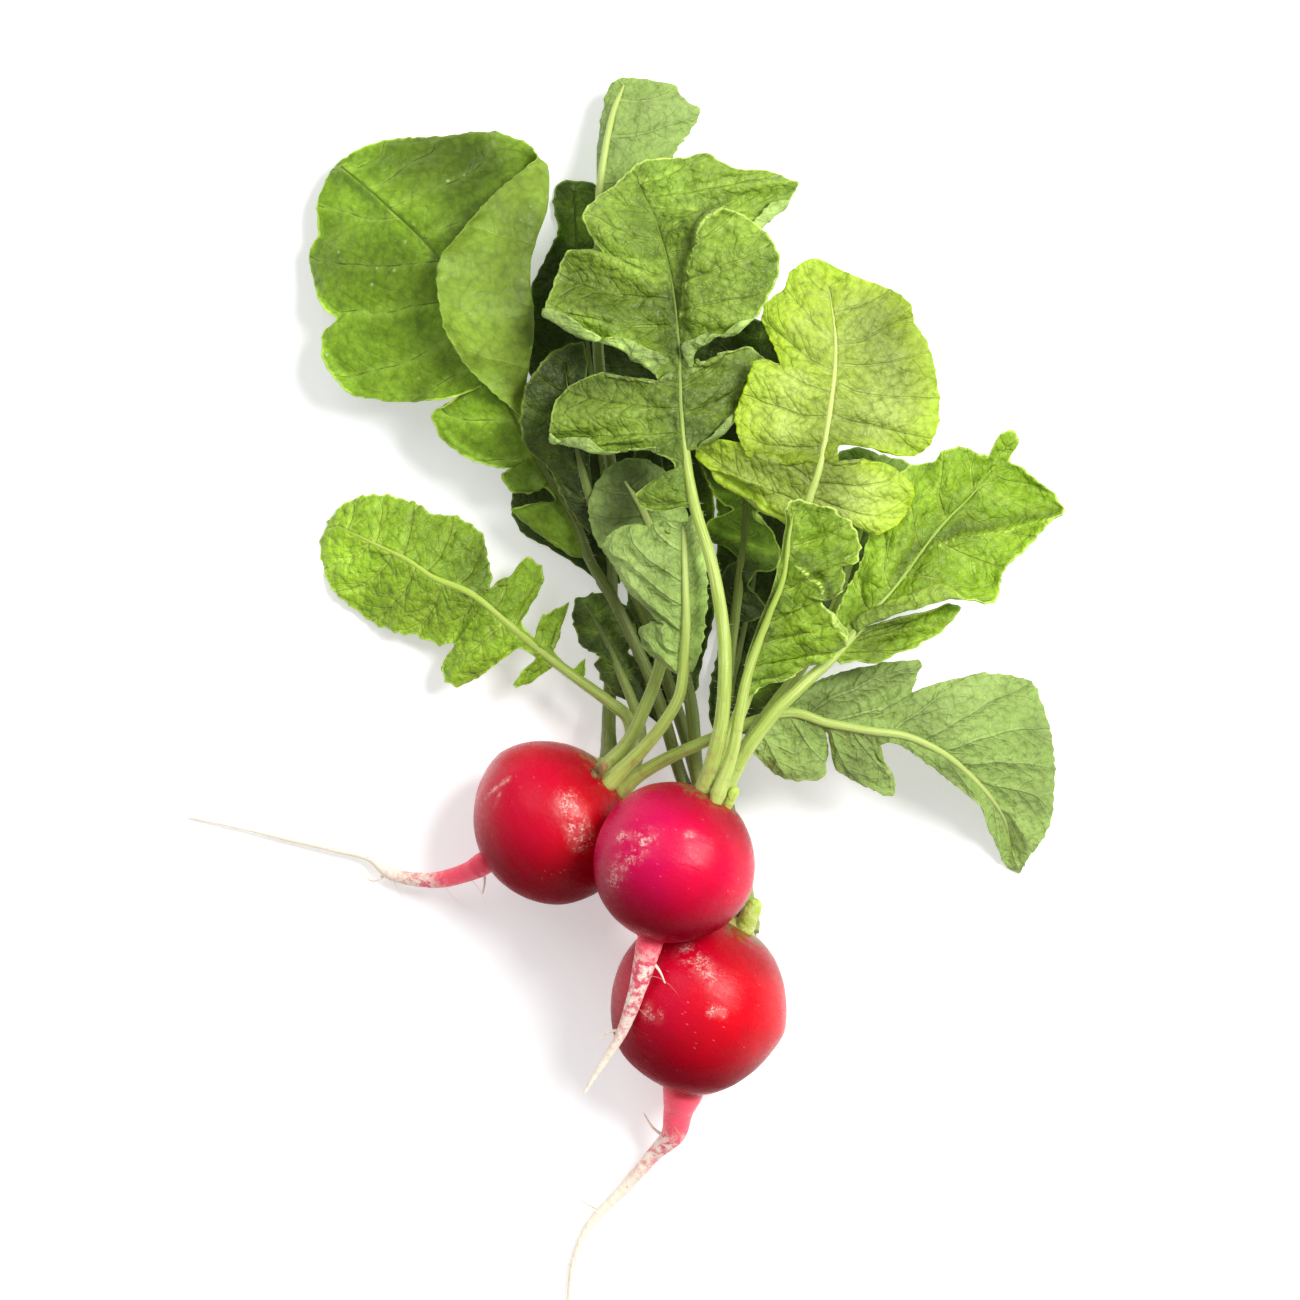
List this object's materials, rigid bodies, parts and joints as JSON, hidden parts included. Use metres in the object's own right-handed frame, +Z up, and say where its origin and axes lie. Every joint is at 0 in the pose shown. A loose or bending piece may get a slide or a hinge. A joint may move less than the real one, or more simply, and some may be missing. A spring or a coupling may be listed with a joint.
{
  "type": "bunch of radishes",
  "caption": "Bunch of fresh red radishes lying on its side, with round glossy roots, thin tails and leafy green tops.",
  "frame": {"origin": "on the surface that the bunch lies on, under the middle of its bounding box", "axes": "+Z up from that surface; +Y from the roots towards the tips of the leaves; +X across the bunch, towards the drooping leaf"},
  "size_m": [0.1747, 0.2519, 0.0535],
  "materials": {
    "root_red": "glossy cherry-red skin, moist, with small pale scars",
    "root_magenta": "glossy red skin with a magenta cast",
    "leaf_mid": "satin, net-veined, finely hairy",
    "leaf_dark": "satin, net-veined, deep green",
    "leaf_bright": "satin, net-veined, fresh green",
    "leaf_yellow": "satin, net-veined, yellow-green",
    "leaf_grey": "matt pale underside with raised veins",
    "stump_dry": "matt, dried and shrivelled",
    "stump_pale": "satin, pale green, torn"
  },
  "bodies": {
    "root": {"root_1": "root_red", "root_2": "root_magenta", "root_3": "root_red", "stump_1": "stump_dry", "stump_2": "stump_pale", "stump_3": "stump_pale", "leaf_3_fan": "leaf_mid", "leaf_3_tall": "leaf_grey", "leaf_1_rear": "leaf_dark", "leaf_3_dark": "leaf_dark", "leaf_1_inner": "leaf_grey", "leaf_1_front": "leaf_grey", "leaf_2_centre": "leaf_mid", "leaf_2_pale": "leaf_yellow", "leaf_2_curled": "leaf_bright", "leaf_2_pointed": "leaf_bright", "leaf_1_drooping": "leaf_grey", "leaf_1_left": "leaf_bright", "leaf_1_young": "leaf_dark", "leaf_3_rear": "leaf_dark", "leaf_2_under": "leaf_dark", "leaf_1_low": "leaf_dark", "leaf_3_low": "leaf_dark"}
  },
  "joints": []
}
